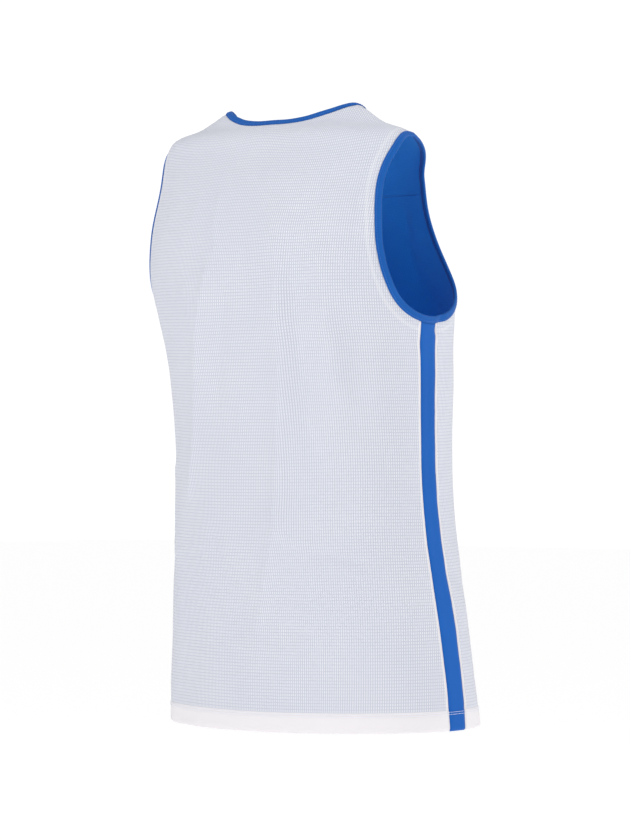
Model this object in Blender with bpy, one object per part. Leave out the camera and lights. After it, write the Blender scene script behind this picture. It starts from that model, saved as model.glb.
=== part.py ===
"""A sleeveless basketball jersey, filled out as if worn, built as thin solids.

The cloth form is one smooth dome: level rings of half-oval section, run up the side of the
body and over the shoulder.  A place on the cloth is an angle round the body (0 at the wearer's
left, 90 degrees at the back, -90 degrees at the front) and a run up the side from the hem.
Every sewn piece is cut from that form, so neighbours meet 0.3 mm apart along shared points.
Metres, +Z up, the front faces -Y, the origin midway between the ridges of the two shoulders.
"""

import bmesh
import bpy
import numpy as np

for thing in list(bpy.data.objects):
    bpy.data.objects.remove(thing, do_unlink=True)

CLOTH = 0.0010          # thickness of one layer of knit
LAYER_GAP = 0.0003      # between the outer and the inner layer
SEAM_GAP = 0.0003       # between two pieces sewn edge to edge
HEM_TURN = 0.024        # depth of the turned-up hem
HEM_EXTRA = 0.0006      # how far the doubled hem stands out
HEM_RISE = 0.009        # the front of the hem hangs this much higher than the back
HEM_RISE_FROM = -0.33   # a rise that fades out by this height
LINING_LIFT = 0.006     # the inner layer stops this far above the hem
BINDING_WIDTH = 0.0075  # of the bound neck and armholes
SEAM_FORWARD = 0.008    # the shoulder seam lies this far in front of the ridge

# One row per level ring, from the hem up the side and over the shoulder to the neck.
# side_y is where the side line stands; the back and front depths are measured from it.
# height, half_width, side_y, back_depth, front_depth, squareness, stripe_width
RINGS = (
    (-0.732, 0.217, -0.056, 0.129, 0.135, 2.20, 0.0285),  # hem
    (-0.665, 0.213, -0.052, 0.124, 0.129, 2.20, 0.0280),  # seat
    (-0.600, 0.207, -0.047, 0.121, 0.127, 2.20, 0.0275),  # hip
    (-0.540, 0.198, -0.043, 0.124, 0.129, 2.20, 0.0265),
    (-0.480, 0.190, -0.040, 0.127, 0.132, 2.20, 0.0260),
    (-0.420, 0.187, -0.038, 0.126, 0.131, 2.20, 0.0255),  # waist
    (-0.360, 0.187, -0.036, 0.129, 0.135, 2.20, 0.0255),
    (-0.310, 0.190, -0.033, 0.133, 0.139, 2.20, 0.0265),  # ribs
    (-0.270, 0.193, -0.029, 0.134, 0.141, 2.20, 0.0280),
    (-0.236, 0.200, -0.024, 0.134, 0.140, 2.20, 0.0290),  # underarm
    (-0.190, 0.213, -0.017, 0.127, 0.132, 2.20, 0.0290),  # chest
    (-0.130, 0.209, -0.005, 0.107, 0.123, 2.20, 0.0290),  # shoulder blades
    (-0.070, 0.200, +0.000, 0.081, 0.109, 2.20, 0.0290),
    (-0.036, 0.195, +0.001, 0.061, 0.089, 2.40, 0.0290),
    (-0.020, 0.187, +0.001, 0.053, 0.064, 2.60, 0.0290),  # shoulder tip
    (-0.001, 0.144, +0.000, 0.034, 0.040, 2.05, 0.0290),
    (+0.019, 0.103, -0.003, 0.020, 0.025, 2.00, 0.0290),  # neck point
    (+0.024, 0.088, -0.004, 0.010, 0.014, 2.00, 0.0290),  # inside the neck opening
)
# The finished armhole edge as seen from the side, from the underarm up the back and down the front.
# y, height
ARMHOLE = (
    (-0.025, -0.237), (+0.006, -0.229), (+0.029, -0.211), (+0.042, -0.188), (+0.048, -0.160),
    (+0.048, -0.130), (+0.044, -0.100), (+0.036, -0.070), (+0.026, -0.048), (+0.013, -0.031),
    (-0.003, -0.022), (-0.022, -0.022), (-0.044, -0.030), (-0.062, -0.043), (-0.074, -0.057),
    (-0.083, -0.074), (-0.094, -0.100), (-0.102, -0.130), (-0.107, -0.160), (-0.106, -0.186),
    (-0.095, -0.210), (-0.066, -0.230),
)
# The finished neck edge as seen from above, from the middle of the back to the middle of the front.
# x, y
NECK = (
    (0.000, +0.031), (0.030, +0.030), (0.060, +0.024), (0.084, +0.013), (0.099, -0.002),
    (0.103, -0.018), (0.101, -0.040), (0.092, -0.065), (0.075, -0.087), (0.052, -0.102),
    (0.027, -0.111), (0.000, -0.114),
)
# The largest folds of the worn cloth: a soft ridge (or trough) along a line from place to place.
# from_degrees, from_height, to_degrees, to_height, half_width, rise
FOLDS = (
    (+172, -0.012, +188, -0.012, 0.022, -0.0040),  # the right shoulder lies a little lower
    (+76, -0.18, +49, -0.42, 0.030, +0.0030),   # left shoulder blade to waist
    (+120, -0.14, +113, -0.48, 0.032, +0.0035),  # long drape down the back
    (+113, -0.48, +101, -0.56, 0.024, +0.0020),  # where it forks
    (+118, -0.48, +128, -0.55, 0.022, +0.0020),
    (+130, -0.22, +131, -0.37, 0.020, -0.0030),
    (+142, -0.17, +141, -0.34, 0.020, +0.0020),
    (+152, -0.26, +150, -0.36, 0.018, -0.0020),
    (+36, -0.52, +30, -0.68, 0.024, +0.0025),
    (-168, -0.58, -171, -0.69, 0.018, +0.0025),  # in front of the right stripe
    (-126, -0.18, -132, -0.43, 0.030, +0.0030),
    (-110, -0.25, -112, -0.38, 0.020, -0.0025),
    (-95, -0.20, -92, -0.52, 0.032, +0.0030),    # long drape down the front
    (-76, -0.28, -74, -0.45, 0.022, -0.0025),
    (-60, -0.18, -47, -0.44, 0.030, +0.0030),
    (-24, -0.54, -18, -0.68, 0.022, +0.0025),
)
MEAN_RADIUS = 0.165     # turns an angle into a distance round the body

LOWER_ROWS = 10         # rows of faces from the hem seam to the underarm
ARMHOLE_ROWS = 18       # rows along each side of an armhole
SHOULDER_COLUMNS = 5    # columns across a shoulder
BACK_NECK_COLUMNS = 9   # columns from the neck point to the middle of the back
FRONT_NECK_COLUMNS = 10
STRIPE_COLUMNS = 4

WHITE = (0.72, 0.74, 0.80, 1.0)
BLUE = (0.020, 0.150, 0.520, 1.0)
DEEP_BLUE = (0.012, 0.080, 0.290, 1.0)


def through(knots, values, at):
    """A smooth curve through the rows of a table, read at each place asked for."""
    knots, values, at = (np.asarray(part, float) for part in (knots, values, at))
    slopes = np.gradient(values, knots, axis=0)
    row = np.clip(np.searchsorted(knots, at, side="right") - 1, 0, len(knots) - 2)
    step = (knots[row + 1] - knots[row])[..., None]
    u = (at[..., None] - knots[row][..., None]) / step
    return (
        (1 + 2 * u) * (1 - u) ** 2 * values[row]
        + u * (1 - u) ** 2 * step * slopes[row]
        + u * u * (3 - 2 * u) * values[row + 1]
        - u * u * (1 - u) * step * slopes[row + 1]
    )


def along(points):
    """The distance run along a line of points, from 0 at its start."""
    steps = np.linalg.norm(np.diff(points, axis=0), axis=1)
    return np.concatenate([[0.0], np.cumsum(steps)])


RING_ROWS = np.array(RINGS)
RING_RUNS = along(RING_ROWS[:, :2])
NECK_POINT_RUN = RING_RUNS[-1]


def ring(run):
    """The ring's columns at a run up the side."""
    return np.moveaxis(through(RING_RUNS, RING_ROWS, run), -1, 0)


def form(place):
    """The points of the smooth form at places (angle, run)."""
    angle, run = place[..., 0], place[..., 1]
    height, half_width, side_y, back, front, squareness, _ = ring(run)
    across, deep = np.cos(angle), np.sin(angle)
    depth = np.where(deep >= 0, back, front)
    reach = (
        np.abs(across / half_width) ** squareness + np.abs(deep / depth) ** squareness
    ) ** (-1 / squareness)
    return np.stack([reach * across, side_y + reach * deep, height], axis=-1)


def slopes_of_form(place):
    """How the form moves with the angle and with the run."""
    small = np.array([1e-4, 1e-5])
    by_angle = form(place + small * [1, 0]) - form(place - small * [1, 0])
    by_run = form(place + small * [0, 1]) - form(place - small * [0, 1])
    return by_angle / (2 * small[0]), by_run / (2 * small[1])


def outward(place):
    by_angle, by_run = slopes_of_form(place)
    normal = np.cross(by_angle, by_run)
    return normal / np.linalg.norm(normal, axis=-1, keepdims=True)


def fold_rise(place):
    """How far the largest folds lift the cloth at each place."""
    height = ring(place[..., 1])[0]
    rise = np.zeros(place.shape[:-1])
    for start_angle, start_height, end_angle, end_height, half_width, lift in FOLDS:
        turned = (place[..., 0] - np.radians(start_angle) + np.pi) % (2 * np.pi) - np.pi
        flat = np.stack([turned * MEAN_RADIUS, height - start_height], axis=-1)
        turn = np.radians(end_angle - start_angle)
        line = np.array([turn * MEAN_RADIUS, end_height - start_height])
        share = np.clip(flat @ line / (line @ line), 0, 1)
        apart = np.linalg.norm(flat - share[..., None] * line, axis=-1)
        rise += lift * np.exp(-((apart / half_width) ** 2))
    return rise


def cloth(place, lift=0.0):
    """Points of the worn cloth, a lift above its outer face."""
    lift = np.broadcast_to(lift, place.shape[:-1])
    return form(place) + outward(place) * (fold_rise(place) + lift)[..., None]


def run_at_height(height):
    runs = np.linspace(0, NECK_POINT_RUN, 3000)
    return np.interp(height, ring(runs)[0], runs)


def closed_curve(rows, count):
    """A smooth closed curve through the rows, as evenly numbered points."""
    rows = np.array(rows)
    wrapped = np.concatenate([rows[-3:], rows, rows[:4]])
    knots = along(wrapped)
    return through(knots, wrapped, np.linspace(knots[3], knots[3 + len(rows)], count + 1))


def armhole_places(count=720):
    """The finished edge of the left armhole, closed, starting at the underarm."""
    y, height = closed_curve(ARMHOLE, count).T
    run = run_at_height(height)
    _, half_width, side_y, back, front, squareness, _ = ring(run)
    deep = y - side_y
    depth = np.where(deep >= 0, back, front)
    x = half_width * (1 - np.abs(deep / depth) ** squareness) ** (1 / squareness)
    return np.stack([np.arctan2(deep, x), run], axis=-1)


def neck_places(count=360):
    """The left half of the finished neck edge, from the middle of the back to the front."""
    rows = np.array(NECK)
    mirrored = rows * [-1, 1]
    whole = np.concatenate([mirrored[3:0:-1], rows, mirrored[-2:-5:-1]])
    knots = along(whole)
    x, y = through(knots, whole, np.linspace(knots[3], knots[2 + len(rows)], count + 1)).T
    runs = np.linspace(run_at_height(-0.18), NECK_POINT_RUN, 1600)
    places = []
    for px, py in zip(x, y):
        angle = np.arctan2(py - ring(runs)[2], px)
        points = form(np.stack([angle, runs], axis=-1))
        over = np.hypot(points[:, 0], points[:, 1] - ring(runs)[2])
        wanted = np.hypot(px, py - ring(runs)[2])
        inside = np.flatnonzero(over <= wanted)
        index = inside[0] if len(inside) else len(runs) - 1
        places.append((angle[index], runs[index]))
    return np.array(places)


def moved_in(places, distance, closed, steps=4):
    """An edge moved over the cloth in small steps, away from the opening that it runs round."""
    for _ in range(steps):
        places = places + small_step_in(places, distance / steps, closed)
    return places


def small_step_in(places, distance, closed):
    points = form(places)
    if closed:
        direction = np.roll(points[:-1], -1, axis=0) - np.roll(points[:-1], 1, axis=0)
        direction = np.concatenate([direction, direction[:1]])
    else:
        direction = np.gradient(points, axis=0)
        direction[[0, -1], 1:] = 0
    by_angle, by_run = slopes_of_form(places)
    away = np.cross(np.cross(by_angle, by_run), direction)
    away /= np.linalg.norm(away, axis=-1, keepdims=True)
    moved = np.empty_like(places)
    for i in range(len(places)):
        slopes = np.stack([by_angle[i], by_run[i]], axis=1)
        moved[i] = np.linalg.lstsq(slopes, away[i] * distance, rcond=None)[0]
    if not closed:
        moved[[0, -1], 0] = 0
    return moved


def crossing(values):
    """The place along a row of values, as a fractional index, where they first change sign."""
    before = np.flatnonzero(np.sign(values[:-1]) != np.sign(values[1:]))[0]
    return before + values[before] / (values[before] - values[before + 1])


def read(places, index):
    """A line of places read at fractional indices."""
    index = np.asarray(index, float)
    numbers = np.arange(len(places))
    return np.stack([np.interp(index, numbers, part) for part in places.T], axis=-1)


def evenly(places, start, end, count):
    """Fractional indices that split a stretch of a line into equal lengths."""
    index = np.linspace(start, end, 400)
    run = along(form(read(places, index)))
    return np.interp(np.linspace(0, run[-1], count + 1), run, index)


def stripe_edge(run, gap):
    """The angle of the side stripe's edge, measured from the side line."""
    return (ring(run)[6] / 2 + gap) / ring(run)[1]


def shoulder_seam(run, gap):
    return (gap - SEAM_FORWARD) / ring(run)[1]


ARM_EDGE = armhole_places()
ARM_SEAM = moved_in(ARM_EDGE, -BINDING_WIDTH, closed=True)
NECK_EDGE = neck_places()
NECK_SEAM = moved_in(NECK_EDGE, BINDING_WIDTH, closed=False)
HALF_GAP = SEAM_GAP / 2
UNDERARM = len(ARM_SEAM) - 1


def hem_hung(places):
    """The places shifted up towards the front so that the hem hangs lower at the back."""
    height = ring(places[..., 1])[0]
    fade = np.clip((HEM_RISE_FROM - height) / (HEM_RISE_FROM - RINGS[0][0]), 0, 1)
    rise = HEM_RISE * (1 - np.sin(places[..., 0])) / 2
    return places + np.stack([0 * rise, fade * rise], axis=-1)


def relaxed(places, first_row, rounds=10):
    """A grid evened out over the cloth above its first row, with its outline held still.

    Each inner point moves to where the lines through it run most evenly (Winslow's smoothing,
    which keeps the lines from crossing beside a hollow edge such as the neck).
    """
    for _ in range(rounds):
        inner = places[first_row:]
        points = form(inner)
        beside = points[1:-1, 2:], points[1:-1, :-2]
        above = points[2:, 1:-1], points[:-2, 1:-1]
        across = (beside[0] - beside[1]) / 2
        up = (above[0] - above[1]) / 2
        cross = (points[2:, 2:] - points[:-2, 2:] - points[2:, :-2] + points[:-2, :-2]) / 4
        wide, tall, skew = (
            (one * other).sum(-1, keepdims=True)
            for one, other in ((across, across), (up, up), (across, up))
        )
        middle = tall * (beside[0] + beside[1]) + wide * (above[0] + above[1])
        middle = (middle - 2 * skew * cross) / (2 * (tall + wide))
        want = middle - points[1:-1, 1:-1]
        by_angle, by_run = slopes_of_form(inner[1:-1, 1:-1])
        aa, ab, bb = (by_angle**2).sum(-1), (by_angle * by_run).sum(-1), (by_run**2).sum(-1)
        ta, tb = (by_angle * want).sum(-1), (by_run * want).sum(-1)
        step = np.stack([bb * ta - ab * tb, aa * tb - ab * ta], axis=-1)
        inner[1:-1, 1:-1] += 0.8 * step / (aa * bb - ab * ab)[..., None]
    return places


class HalfPanel:
    """The left half of a front or back panel: rows of places from the side to the middle."""

    def __init__(self, turn, neck_columns):
        # turn is 1 for the back and -1 for the front
        middle = turn * np.pi / 2
        half = len(ARM_SEAM) // 2
        if turn > 0:
            arm = np.arange(0, half + 60)
        else:
            arm = np.arange(UNDERARM, half - 60, -1)
        line = ARM_SEAM[arm]
        low = crossing(turn * line[:, 0] - stripe_edge(line[:, 1], HALF_GAP))
        top = 100 + crossing(
            turn * (line[100:, 0] - shoulder_seam(line[100:, 1], turn * HALF_GAP))
        )
        arm_index = evenly(line, low, top, ARMHOLE_ROWS)
        self.arm_stations = np.interp(arm_index, np.arange(len(arm)), arm)
        arm_line = read(line, arm_index)

        neck = NECK_SEAM
        seam_at = crossing(neck[:, 0] - shoulder_seam(neck[:, 1], turn * HALF_GAP))
        stop = 0 if turn > 0 else len(neck) - 1
        self.neck_stations = evenly(neck, seam_at, stop, neck_columns)
        neck_line = read(neck, self.neck_stations)

        seam_runs = np.linspace(arm_line[-1, 1], neck_line[0, 1], SHOULDER_COLUMNS + 1)
        seam = np.stack([shoulder_seam(seam_runs, turn * HALF_GAP), seam_runs], axis=-1)
        top_line = np.concatenate([seam[:-1], neck_line])

        hem_runs = run_at_height(RINGS[0][0] + np.array([0, HEM_TURN - 0.002, HEM_TURN]))
        lower = np.linspace(hem_runs[-1], arm_line[0, 1], LOWER_ROWS + 1)[:-1]
        lower = np.concatenate([hem_runs[:-1], lower])
        low_side = np.stack([turn * stripe_edge(lower, HALF_GAP), lower], axis=-1)
        side = np.concatenate([low_side, arm_line])
        self.lower_count, self.lower_runs = len(lower), lower

        rise = np.linspace(0, 1, ARMHOLE_ROWS + 1)[1:]
        upper = arm_line[0, 1] + rise * (neck_line[-1, 1] - arm_line[0, 1])
        middle_runs = np.concatenate([lower, [arm_line[0, 1]], upper])
        middle_line = np.stack([np.full(len(middle_runs), middle), middle_runs], axis=-1)

        columns = SHOULDER_COLUMNS + neck_columns
        s = np.linspace(0, 1, columns + 1)[None, :, None]
        ruled = side[:, None] * (1 - s) + middle_line[:, None] * s
        bend = top_line - (top_line[0] * (1 - s[0]) + top_line[-1] * s[0])
        pull = np.clip((np.arange(len(side)) - self.lower_count) / ARMHOLE_ROWS, 0, 1) ** 2
        self.places = relaxed(ruled + pull[:, None, None] * bend, self.lower_count)
        self.places = hem_hung(self.places)


def mirrored(places):
    """The same places on the wearer's right."""
    return np.stack([np.pi - places[..., 0], places[..., 1]], axis=-1)


BACK = HalfPanel(1, BACK_NECK_COLUMNS)
FRONT = HalfPanel(-1, FRONT_NECK_COLUMNS)


def across(half, turn):
    """Both halves of a panel as one grid whose columns run with the angle."""
    other = mirrored(half)[:, ::-1] if turn > 0 else mirrored(half)
    if turn > 0:
        return np.concatenate([half, other[:, 1:]], axis=1)
    return np.concatenate([other, half[:, ::-1][:, 1:]], axis=1)


def arm_seam_at(stations):
    """Places on the armhole seam; stations below 0 are in front of the underarm."""
    return read(ARM_SEAM, np.asarray(stations) % UNDERARM)


def side_stations(edge_angle):
    """Where an edge line on either side of the side line meets the armhole seam."""
    near = arm_seam_at(np.arange(-100, 101))
    edge = edge_angle(near[:, 1])
    return crossing(near[:, 0] + edge) - 100, crossing(near[:, 0] - edge) - 100


LOWER_RUNS = BACK.lower_runs
STRIPE_STATIONS = np.linspace(
    *side_stations(lambda run: stripe_edge(run, -HALF_GAP)), STRIPE_COLUMNS + 1
)


def stripe_places():
    spread = np.linspace(-1, 1, STRIPE_COLUMNS + 1)
    angle = stripe_edge(LOWER_RUNS, -HALF_GAP)[:, None] * spread
    lower = np.stack([angle, np.broadcast_to(LOWER_RUNS[:, None], angle.shape)], axis=-1)
    return np.concatenate([hem_hung(lower), arm_seam_at(STRIPE_STATIONS)[None]])


def lining_strip(panel, turn):
    """The part of the inner layer that reaches behind the stripe to the side seam."""
    edge = panel[: BACK.lower_count + 1, 0]
    seam = np.stack([turn * HALF_GAP / ring(edge[:, 1])[1], edge[:, 1]], axis=-1)
    stations = side_stations(lambda run: HALF_GAP / ring(run)[1])
    seam[-1] = arm_seam_at(stations[1] if turn > 0 else stations[0])
    pair = np.stack([seam, edge], axis=1)
    return pair if turn > 0 else pair[:, ::-1]


# ---- building


def material(name, colour, roughness):
    made = bpy.data.materials.new(name)
    made.use_nodes = True
    shader = made.node_tree.nodes["Principled BSDF"]
    shader.inputs["Base Color"].default_value = colour
    shader.inputs["Roughness"].default_value = roughness
    shader.inputs["Metallic"].default_value = 0.0
    return made


def new_object(name, bm, shade):
    mesh = bpy.data.meshes.new(name)
    bm.to_mesh(mesh)
    bm.free()
    mesh.materials.append(shade)
    made = bpy.data.objects.new(name, mesh)
    JERSEY.objects.link(made)
    return made


def sheet(name, grids, lift, hem, shade):
    """One sewn piece: grids of places laid on the form, given an inner face along its normals.

    hem is how far the doubled hem stands out of the outer face and of the inner one.
    """
    bm = bmesh.new()
    inner_face = bm.verts.layers.float_vector.new("inner_face")
    for places in grids:
        rows, columns = places.shape[0] - 1, places.shape[1] - 1
        lifts = np.full(places.shape[:2], lift)
        in_hem = np.arange(rows + 1)[:, None] < 2
        outer = cloth(places, lifts + hem[0] * in_hem)
        inner = cloth(places, lifts - CLOTH - hem[1] * in_hem)
        grid = bmesh.ops.create_grid(bm, x_segments=columns, y_segments=rows, size=1)
        for vertex in grid["verts"]:
            column = round((vertex.co.x + 1) / 2 * columns)
            row = round((vertex.co.y + 1) / 2 * rows)
            vertex.co = outer[row, column]
            vertex[inner_face] = inner[row, column]
    bmesh.ops.remove_doubles(bm, verts=bm.verts, dist=1e-6)
    second = bmesh.ops.extrude_face_region(bm, geom=bm.faces, use_keep_orig=True)["geom"]
    for vertex in second:
        if isinstance(vertex, bmesh.types.BMVert):
            vertex.co = vertex[inner_face]
    bmesh.ops.recalc_face_normals(bm, faces=bm.faces)
    return new_object(name, bm, shade)


# The binding's cut: a share of its width from the seam to the finished edge, and a lift.
BINDING_CUT = (
    (SEAM_GAP / BINDING_WIDTH, +0.0002), (0.45, +0.0008), (0.85, +0.0005), (1.00, -0.0005),
    (1.00, -0.0018), (0.85, -0.0028), (0.45, -0.0031), (SEAM_GAP / BINDING_WIDTH, -0.0025),
)


def binding(name, seam, edge, shade):
    """A closed band lofted between the sewn line and the finished edge of an opening."""
    bm = bmesh.new()
    loops = []
    for share, lift in BINDING_CUT:
        points = cloth(seam + (edge - seam) * share, lift)
        loops.append([bm.verts.new(point) for point in points])
    for loop, after in zip(loops, loops[1:] + loops[:1]):
        for i in range(len(loop)):
            bm.faces.new((loop[i - 1], loop[i], after[i], after[i - 1]))
    bmesh.ops.recalc_face_normals(bm, faces=bm.faces)
    return new_object(name, bm, shade)


JERSEY = bpy.data.collections.new("basketball_jersey")
bpy.context.scene.collection.children.link(JERSEY)

white_knit = material("white_mesh_knit", WHITE, 0.75)
blue_knit = material("blue_knit", DEEP_BLUE, 0.75)
blue_trim = material("blue_trim", BLUE, 0.60)

for name, half, turn in (("back", BACK, 1), ("front", FRONT, -1)):
    sheet(name + "_panel", [across(half.places, turn)], 0.0, (HEM_EXTRA, 0), white_knit)
    inner = half.places.copy()
    inner[0, :, 1] += LINING_LIFT
    strip = lining_strip(half.places, turn)
    strip[0, :, 1] += LINING_LIFT
    far_strip = mirrored(strip)[:, ::-1]
    sheet(
        name + "_lining",
        [across(inner, turn), strip, far_strip],
        -CLOTH - LAYER_GAP, (0, HEM_EXTRA), blue_knit,
    )

stripe = stripe_places()
sheet("side_stripe_left", [stripe], 0.0, (HEM_EXTRA, 0), blue_trim)
sheet("side_stripe_right", [mirrored(stripe)[:, ::-1]], 0.0, (HEM_EXTRA, 0), blue_trim)

back_arm, front_arm = BACK.arm_stations, FRONT.arm_stations - UNDERARM
around = np.concatenate([
    [(front_arm[0] + STRIPE_STATIONS[0]) / 2], STRIPE_STATIONS[1:-1],
    [(back_arm[0] + STRIPE_STATIONS[-1]) / 2], back_arm[1:-1],
    [(back_arm[-1] + front_arm[-1] + UNDERARM) / 2], front_arm[-2:0:-1] + UNDERARM,
])
arm_seam, arm_edge = arm_seam_at(around), read(ARM_EDGE, around % UNDERARM)
binding("armhole_binding_left", arm_seam, arm_edge, blue_trim)
binding("armhole_binding_right", mirrored(arm_seam), mirrored(arm_edge), blue_trim)

back_neck, front_neck = BACK.neck_stations, FRONT.neck_stations
neck_around = np.concatenate([
    back_neck[:0:-1], [(back_neck[0] + front_neck[0]) / 2], front_neck[1:],
])
halves = [read(line, neck_around) for line in (NECK_SEAM, NECK_EDGE)]
neck_seam, neck_edge = (
    np.concatenate([half, mirrored(half)[-2:0:-1]]) for half in halves
)
binding("neck_binding", neck_seam, neck_edge, blue_trim)
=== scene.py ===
# %% [markdown]
# # A basketball jersey, dressed
# This lesson dresses a packed jersey: two layers of knit, white outside and blue inside, with
# bound edges, a stripe down each side and a turned hem.  The solids fix the size and place of
# every sewn piece.  Here each is cut again as a fine sheet on the same form, with its creases,
# stitches and knit.  First the frame is loaded.

# %% Load the frame
import math
from functools import reduce

import bmesh
import bpy
import numpy as np
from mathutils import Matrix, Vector


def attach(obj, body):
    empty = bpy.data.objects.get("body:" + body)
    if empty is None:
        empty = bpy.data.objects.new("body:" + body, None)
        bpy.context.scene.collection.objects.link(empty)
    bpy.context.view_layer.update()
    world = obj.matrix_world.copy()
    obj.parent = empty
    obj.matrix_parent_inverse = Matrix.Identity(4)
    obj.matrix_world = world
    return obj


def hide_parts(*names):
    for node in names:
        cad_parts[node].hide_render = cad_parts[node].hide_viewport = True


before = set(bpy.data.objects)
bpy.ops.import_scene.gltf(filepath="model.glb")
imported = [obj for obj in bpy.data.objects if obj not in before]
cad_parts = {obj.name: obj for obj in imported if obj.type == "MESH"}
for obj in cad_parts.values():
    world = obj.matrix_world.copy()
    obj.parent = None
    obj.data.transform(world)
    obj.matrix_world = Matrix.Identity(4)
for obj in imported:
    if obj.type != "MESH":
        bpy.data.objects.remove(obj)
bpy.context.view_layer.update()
print("solids:", ", ".join(sorted(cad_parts)))

# %% [markdown]
# ## The form that the cloth follows
# A worn jersey is one smooth dome, open at the neck, the armholes and the hem.  Its level rings
# are half-ovals, squarer than an ellipse, and a smooth curve through a table of them gives the
# whole form.  A sculpted mesh would serve too, but a formula lets every piece lie on exactly the
# same surface, so that edges meet.  A place on the cloth is an angle round the body (0 at the
# wearer's left, 90 degrees at the back) and a run up the side.

# %% The rings of the form
# height, half_width, side_y, back_depth, front_depth, squareness, stripe_width, all in mm but one
HEIGHT, HALF_WIDTH, SIDE_Y, STRIPE_WIDTH = 0, 1, 2, 6
MM = 0.001
RINGS = (MM, MM, MM, MM, MM, 1, MM) * np.array((
    (-732, 217, -56, 129, 135, 2.20, 28.5),  # hem
    (-665, 213, -52, 124, 129, 2.20, 28),  # seat
    (-600, 207, -47, 121, 127, 2.20, 27.5),  # hip
    (-540, 198, -43, 124, 129, 2.20, 26.5),
    (-480, 190, -40, 127, 132, 2.20, 26),
    (-420, 187, -38, 126, 131, 2.20, 25.5),  # waist
    (-360, 187, -36, 129, 135, 2.20, 25.5),
    (-310, 190, -33, 133, 139, 2.20, 26.5),  # ribs
    (-270, 193, -29, 134, 141, 2.20, 28),
    (-236, 200, -24, 134, 140, 2.20, 29),  # underarm
    (-190, 213, -17, 127, 132, 2.20, 29),  # chest
    (-130, 209, -5, 107, 123, 2.20, 29),  # shoulder blades
    (-70, 200, 0, 81, 109, 2.20, 29),
    (-36, 195, 1, 61, 89, 2.40, 29),
    (-20, 187, 1, 53, 64, 2.60, 29),  # shoulder tip
    (-1, 144, 0, 34, 40, 2.05, 29),
    (19, 103, -3, 20, 25, 2.00, 29),  # neck point
    (24, 88, -4, 10, 14, 2.00, 29),  # inside the neck opening
))


def through(knots, values, at):
    """A smooth curve through the rows of a table, read at some places."""
    knots, values, at = (np.asarray(part, float) for part in (knots, values, at))
    slopes = np.gradient(values, knots, axis=0)
    row = np.clip(np.searchsorted(knots, at, side="right") - 1, 0, len(knots) - 2)
    wide = (...,) + (None,) * (values.ndim - 1)
    step = (knots[row + 1] - knots[row])[wide]
    u = (at - knots[row])[wide] / step
    return (
        (1 + 2 * u) * (1 - u) ** 2 * values[row]
        + u * (1 - u) ** 2 * step * slopes[row]
        + u * u * (3 - 2 * u) * values[row + 1]
        - u * u * (1 - u) * step * slopes[row + 1]
    )


def along(points):
    """The distance run along a line of points, from 0 at its start."""
    steps = np.linalg.norm(np.diff(points, axis=0), axis=1)
    return np.concatenate([[0.0], np.cumsum(steps)])


RING_RUNS = along(RINGS[:, :2])
NECK_POINT_RUN = RING_RUNS[-1]


def ring(run):
    """The ring's columns at a run up the side."""
    return np.moveaxis(through(RING_RUNS, RINGS, run), -1, 0)


def place_at(angle, run):
    return np.stack(np.broadcast_arrays(angle, run), axis=-1)


def short_turn(angle):
    """The same angle, at most half a turn either way."""
    return (angle + np.pi) % (2 * np.pi) - np.pi


def form(place):
    """The points of the smooth form at places (angle, run)."""
    height, half_width, side_y, back, front, squareness, _ = ring(place[..., 1])
    across, deep = np.cos(place[..., 0]), np.sin(place[..., 0])
    depth = np.where(deep >= 0, back, front)
    reach = np.abs(across / half_width) ** squareness + np.abs(deep / depth) ** squareness
    reach **= -1 / squareness
    return np.stack([reach * across, side_y + reach * deep, height], axis=-1)


def slopes_of_form(place):
    """How the form moves with the angle and with the run."""
    small = np.array([1e-4, 1e-5])  # radians, metres
    by_angle = form(place + small * [1, 0]) - form(place - small * [1, 0])
    by_run = form(place + small * [0, 1]) - form(place - small * [0, 1])
    return by_angle / (2 * small[0]), by_run / (2 * small[1])


def outward(place):
    normal = np.cross(*slopes_of_form(place))
    return normal / np.linalg.norm(normal, axis=-1, keepdims=True)


print("side line:", round(float(NECK_POINT_RUN), 3), "m from the hem to the neck point")

# %% [markdown]
# ## The folds and creases of the worn cloth
# Knit that hangs from two shoulders falls in long soft drapes, and bunches a little at the waist
# and the side seams.  A cloth simulation would find its own folds, not these, so each is placed
# as a soft ridge or trough along a line.  The first table repeats the solids' largest
# folds.  The second adds the creases between them.

# %% Folds and creases
# where each starts and where it ends, as an angle and a height, then its half width and rise
DEGREES_AND_MM = np.array((np.pi / 180, MM, np.pi / 180, MM, MM, MM))
FOLDS = DEGREES_AND_MM * (
    (172, -12, 188, -12, 22, -4),  # the right shoulder lies a little lower
    (76, -180, 49, -420, 30, 3),  # left shoulder blade to waist
    (120, -140, 113, -480, 32, 3.5),  # long drape down the back
    (113, -480, 101, -560, 24, 2),  # where it forks
    (118, -480, 128, -550, 22, 2), (130, -220, 131, -370, 20, -3),
    (142, -170, 141, -340, 20, 2), (152, -260, 150, -360, 18, -2),
    (36, -520, 30, -680, 24, 2.5),
    (-168, -580, -171, -690, 18, 2.5),  # in front of the right stripe
    (-126, -180, -132, -430, 30, 3), (-110, -250, -112, -380, 20, -2.5),
    (-95, -200, -92, -520, 32, 3),  # long drape down the front
    (-76, -280, -74, -450, 22, -2.5), (-60, -180, -47, -440, 30, 3),
    (-24, -540, -18, -680, 22, 2.5),
)
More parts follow.
